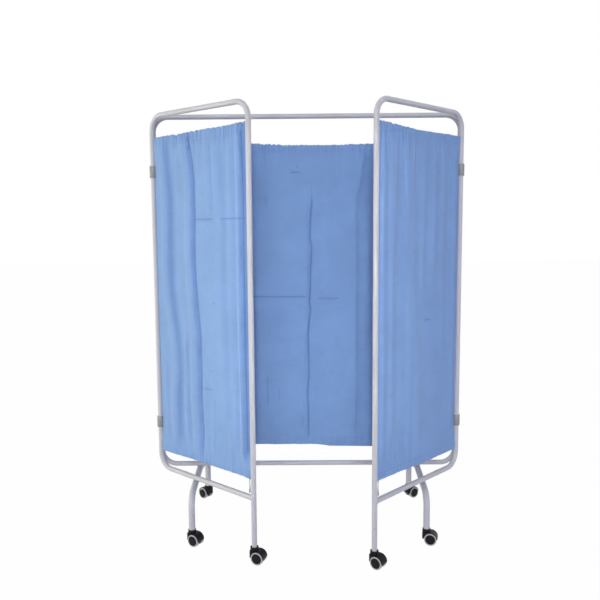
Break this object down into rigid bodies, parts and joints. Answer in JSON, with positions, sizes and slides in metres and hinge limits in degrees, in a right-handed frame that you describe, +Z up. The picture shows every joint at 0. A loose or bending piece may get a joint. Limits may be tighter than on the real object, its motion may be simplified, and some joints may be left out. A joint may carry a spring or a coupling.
{
  "type": "folding ward privacy screen on casters",
  "caption": "Folding ward privacy screen: bent tube panels on arched feet and twin-wheel casters, hinged wings, gathered curtains on rods.",
  "frame": {"origin": "on the floor, in the middle of the overall box of the screen as it stands in the picture", "axes": "+X to the viewer's right along the centre panel, +Y away from the viewer, the wings opening towards -Y, +Z up"},
  "size_m": [1.2598, 0.7208, 1.689],
  "materials": {
    "painted_tube": "satin powder coat, pale lavender white",
    "curtain_cloth": "matt woven cotton, sky blue",
    "zinc_steel": "zinc plated",
    "grey_nylon": "matt",
    "black_plastic": "glossy moulded",
    "grey_tread": "matt moulded tread with a darker hub disc"
  },
  "bodies": {
    "centre_panel": {"centre_frame": "painted_tube", "centre_top_rod": "zinc_steel", "centre_bottom_rod": "zinc_steel", "centre_curtain": "curtain_cloth", "left_foot": "painted_tube", "right_foot": "painted_tube", "left_lower_hinge_strap": "zinc_steel", "left_lower_hinge_screw": "zinc_steel", "left_lower_hinge_bush": "grey_nylon", "left_upper_hinge_strap": "zinc_steel", "left_upper_hinge_screw": "zinc_steel", "left_upper_hinge_bush": "grey_nylon", "right_lower_hinge_strap": "zinc_steel", "right_lower_hinge_screw": "zinc_steel", "right_lower_hinge_bush": "grey_nylon", "right_upper_hinge_strap": "zinc_steel", "right_upper_hinge_screw": "zinc_steel", "right_upper_hinge_bush": "grey_nylon", "left_foot_front_caster_stem": "zinc_steel", "left_foot_rear_caster_stem": "zinc_steel", "right_foot_front_caster_stem": "zinc_steel", "right_foot_rear_caster_stem": "zinc_steel"},
    "left_wing": {"left_wing_frame": "painted_tube", "left_wing_top_rod": "zinc_steel", "left_wing_bottom_rod": "zinc_steel", "left_wing_curtain": "curtain_cloth", "left_front_caster_stem": "zinc_steel"},
    "right_wing": {"right_wing_frame": "painted_tube", "right_wing_top_rod": "zinc_steel", "right_wing_bottom_rod": "zinc_steel", "right_wing_curtain": "curtain_cloth", "right_front_caster_stem": "zinc_steel"},
    "left_front_caster": {"left_front_caster_hood": "black_plastic", "left_front_caster_axle": "zinc_steel"},
    "left_front_wheel_a": {"left_front_caster_wheel_a": "grey_tread"},
    "left_front_wheel_b": {"left_front_caster_wheel_b": "grey_tread"},
    "right_front_caster": {"right_front_caster_hood": "black_plastic", "right_front_caster_axle": "zinc_steel"},
    "right_front_wheel_a": {"right_front_caster_wheel_a": "grey_tread"},
    "right_front_wheel_b": {"right_front_caster_wheel_b": "grey_tread"},
    "left_foot_front_caster": {"left_foot_front_caster_hood": "black_plastic", "left_foot_front_caster_axle": "zinc_steel"},
    "left_foot_front_wheel_a": {"left_foot_front_caster_wheel_a": "grey_tread"},
    "left_foot_front_wheel_b": {"left_foot_front_caster_wheel_b": "grey_tread"},
    "left_foot_rear_caster": {"left_foot_rear_caster_hood": "black_plastic", "left_foot_rear_caster_axle": "zinc_steel"},
    "left_foot_rear_wheel_a": {"left_foot_rear_caster_wheel_a": "grey_tread"},
    "left_foot_rear_wheel_b": {"left_foot_rear_caster_wheel_b": "grey_tread"},
    "right_foot_front_caster": {"right_foot_front_caster_hood": "black_plastic", "right_foot_front_caster_axle": "zinc_steel"},
    "right_foot_front_wheel_a": {"right_foot_front_caster_wheel_a": "grey_tread"},
    "right_foot_front_wheel_b": {"right_foot_front_caster_wheel_b": "grey_tread"},
    "right_foot_rear_caster": {"right_foot_rear_caster_hood": "black_plastic", "right_foot_rear_caster_axle": "zinc_steel"},
    "right_foot_rear_wheel_a": {"right_foot_rear_caster_wheel_a": "grey_tread"},
    "right_foot_rear_wheel_b": {"right_foot_rear_caster_wheel_b": "grey_tread"}
  },
  "joints": [
    {"name": "left_wing_hinge", "type": "hinge", "parent": "centre_panel", "child": "left_wing", "pos_m": [-0.615, 0.06666, 0.9], "axis": [0, 0, -1], "range_deg": [-40.5, 159.5]},
    {"name": "right_wing_hinge", "type": "hinge", "parent": "centre_panel", "child": "right_wing", "pos_m": [0.615, 0.06666, 0.9], "axis": [0, 0, 1], "range_deg": [-45.6, 154.4]},
    {"name": "left_front_swivel", "type": "hinge", "parent": "left_wing", "child": "left_front_caster", "pos_m": [-0.20438, -0.28404, 0.04], "axis": [0, 0, 1], "continuous": true},
    {"name": "left_front_wheel_a_spin", "type": "hinge", "parent": "left_front_caster", "child": "left_front_wheel_a", "pos_m": [-0.19424, -0.30432, 0.024], "axis": [0.3746, 0.9272, 0], "continuous": true},
    {"name": "left_front_wheel_b_spin", "type": "hinge", "parent": "left_front_caster", "child": "left_front_wheel_b", "pos_m": [-0.183, -0.27651, 0.024], "axis": [0.3746, 0.9272, 0], "continuous": true},
    {"name": "right_front_swivel", "type": "hinge", "parent": "right_wing", "child": "right_front_caster", "pos_m": [0.23718, -0.31916, 0.04], "axis": [0, 0, 1], "continuous": true},
    {"name": "right_front_wheel_a_spin", "type": "hinge", "parent": "right_front_caster", "child": "right_front_wheel_a", "pos_m": [0.24134, -0.34144, 0.024], "axis": [0.6157, 0.788, 0], "continuous": true},
    {"name": "right_front_wheel_b_spin", "type": "hinge", "parent": "right_front_caster", "child": "right_front_wheel_b", "pos_m": [0.25981, -0.3178, 0.024], "axis": [0.6157, 0.788, 0], "continuous": true},
    {"name": "left_foot_front_swivel", "type": "hinge", "parent": "centre_panel", "child": "left_foot_front_caster", "pos_m": [-0.46, -0.13684, 0.04], "axis": [0, 0, 1], "continuous": true},
    {"name": "left_foot_front_wheel_a_spin", "type": "hinge", "parent": "left_foot_front_caster", "child": "left_foot_front_wheel_a", "pos_m": [-0.45278, -0.15833, 0.024], "axis": [0.5, 0.866, 0], "continuous": true},
    {"name": "left_foot_front_wheel_b_spin", "type": "hinge", "parent": "left_foot_front_caster", "child": "left_foot_front_wheel_b", "pos_m": [-0.43778, -0.13235, 0.024], "axis": [0.5, 0.866, 0], "continuous": true},
    {"name": "left_foot_rear_swivel", "type": "hinge", "parent": "centre_panel", "child": "left_foot_rear_caster", "pos_m": [-0.46, 0.31916, 0.04], "axis": [0, 0, 1], "continuous": true},
    {"name": "left_foot_rear_wheel_a_spin", "type": "hinge", "parent": "left_foot_rear_caster", "child": "left_foot_rear_wheel_a", "pos_m": [-0.46416, 0.34144, 0.024], "axis": [-0.6157, -0.788, 0], "continuous": true},
    {"name": "left_foot_rear_wheel_b_spin", "type": "hinge", "parent": "left_foot_rear_caster", "child": "left_foot_rear_wheel_b", "pos_m": [-0.48263, 0.3178, 0.024], "axis": [-0.6157, -0.788, 0], "continuous": true},
    {"name": "right_foot_front_swivel", "type": "hinge", "parent": "centre_panel", "child": "right_foot_front_caster", "pos_m": [0.46, -0.13684, 0.04], "axis": [0, 0, 1], "continuous": true},
    {"name": "right_foot_front_wheel_a_spin", "type": "hinge", "parent": "right_foot_front_caster", "child": "right_foot_front_wheel_a", "pos_m": [0.47221, -0.15595, 0.024], "axis": [0.2756, 0.9613, 0], "continuous": true},
    {"name": "right_foot_front_wheel_b_spin", "type": "hinge", "parent": "right_foot_front_caster", "child": "right_foot_front_wheel_b", "pos_m": [0.48048, -0.12711, 0.024], "axis": [0.2756, 0.9613, 0], "continuous": true},
    {"name": "right_foot_rear_swivel", "type": "hinge", "parent": "centre_panel", "child": "right_foot_rear_caster", "pos_m": [0.46, 0.31916, 0.04], "axis": [0, 0, 1], "continuous": true},
    {"name": "right_foot_rear_wheel_a_spin", "type": "hinge", "parent": "right_foot_rear_caster", "child": "right_foot_rear_wheel_a", "pos_m": [0.48237, 0.31545, 0.024], "axis": [-0.5299, 0.848, 0], "continuous": true},
    {"name": "right_foot_rear_wheel_b_spin", "type": "hinge", "parent": "right_foot_rear_caster", "child": "right_foot_rear_wheel_b", "pos_m": [0.46647, 0.34089, 0.024], "axis": [-0.5299, 0.848, 0], "continuous": true}
  ]
}
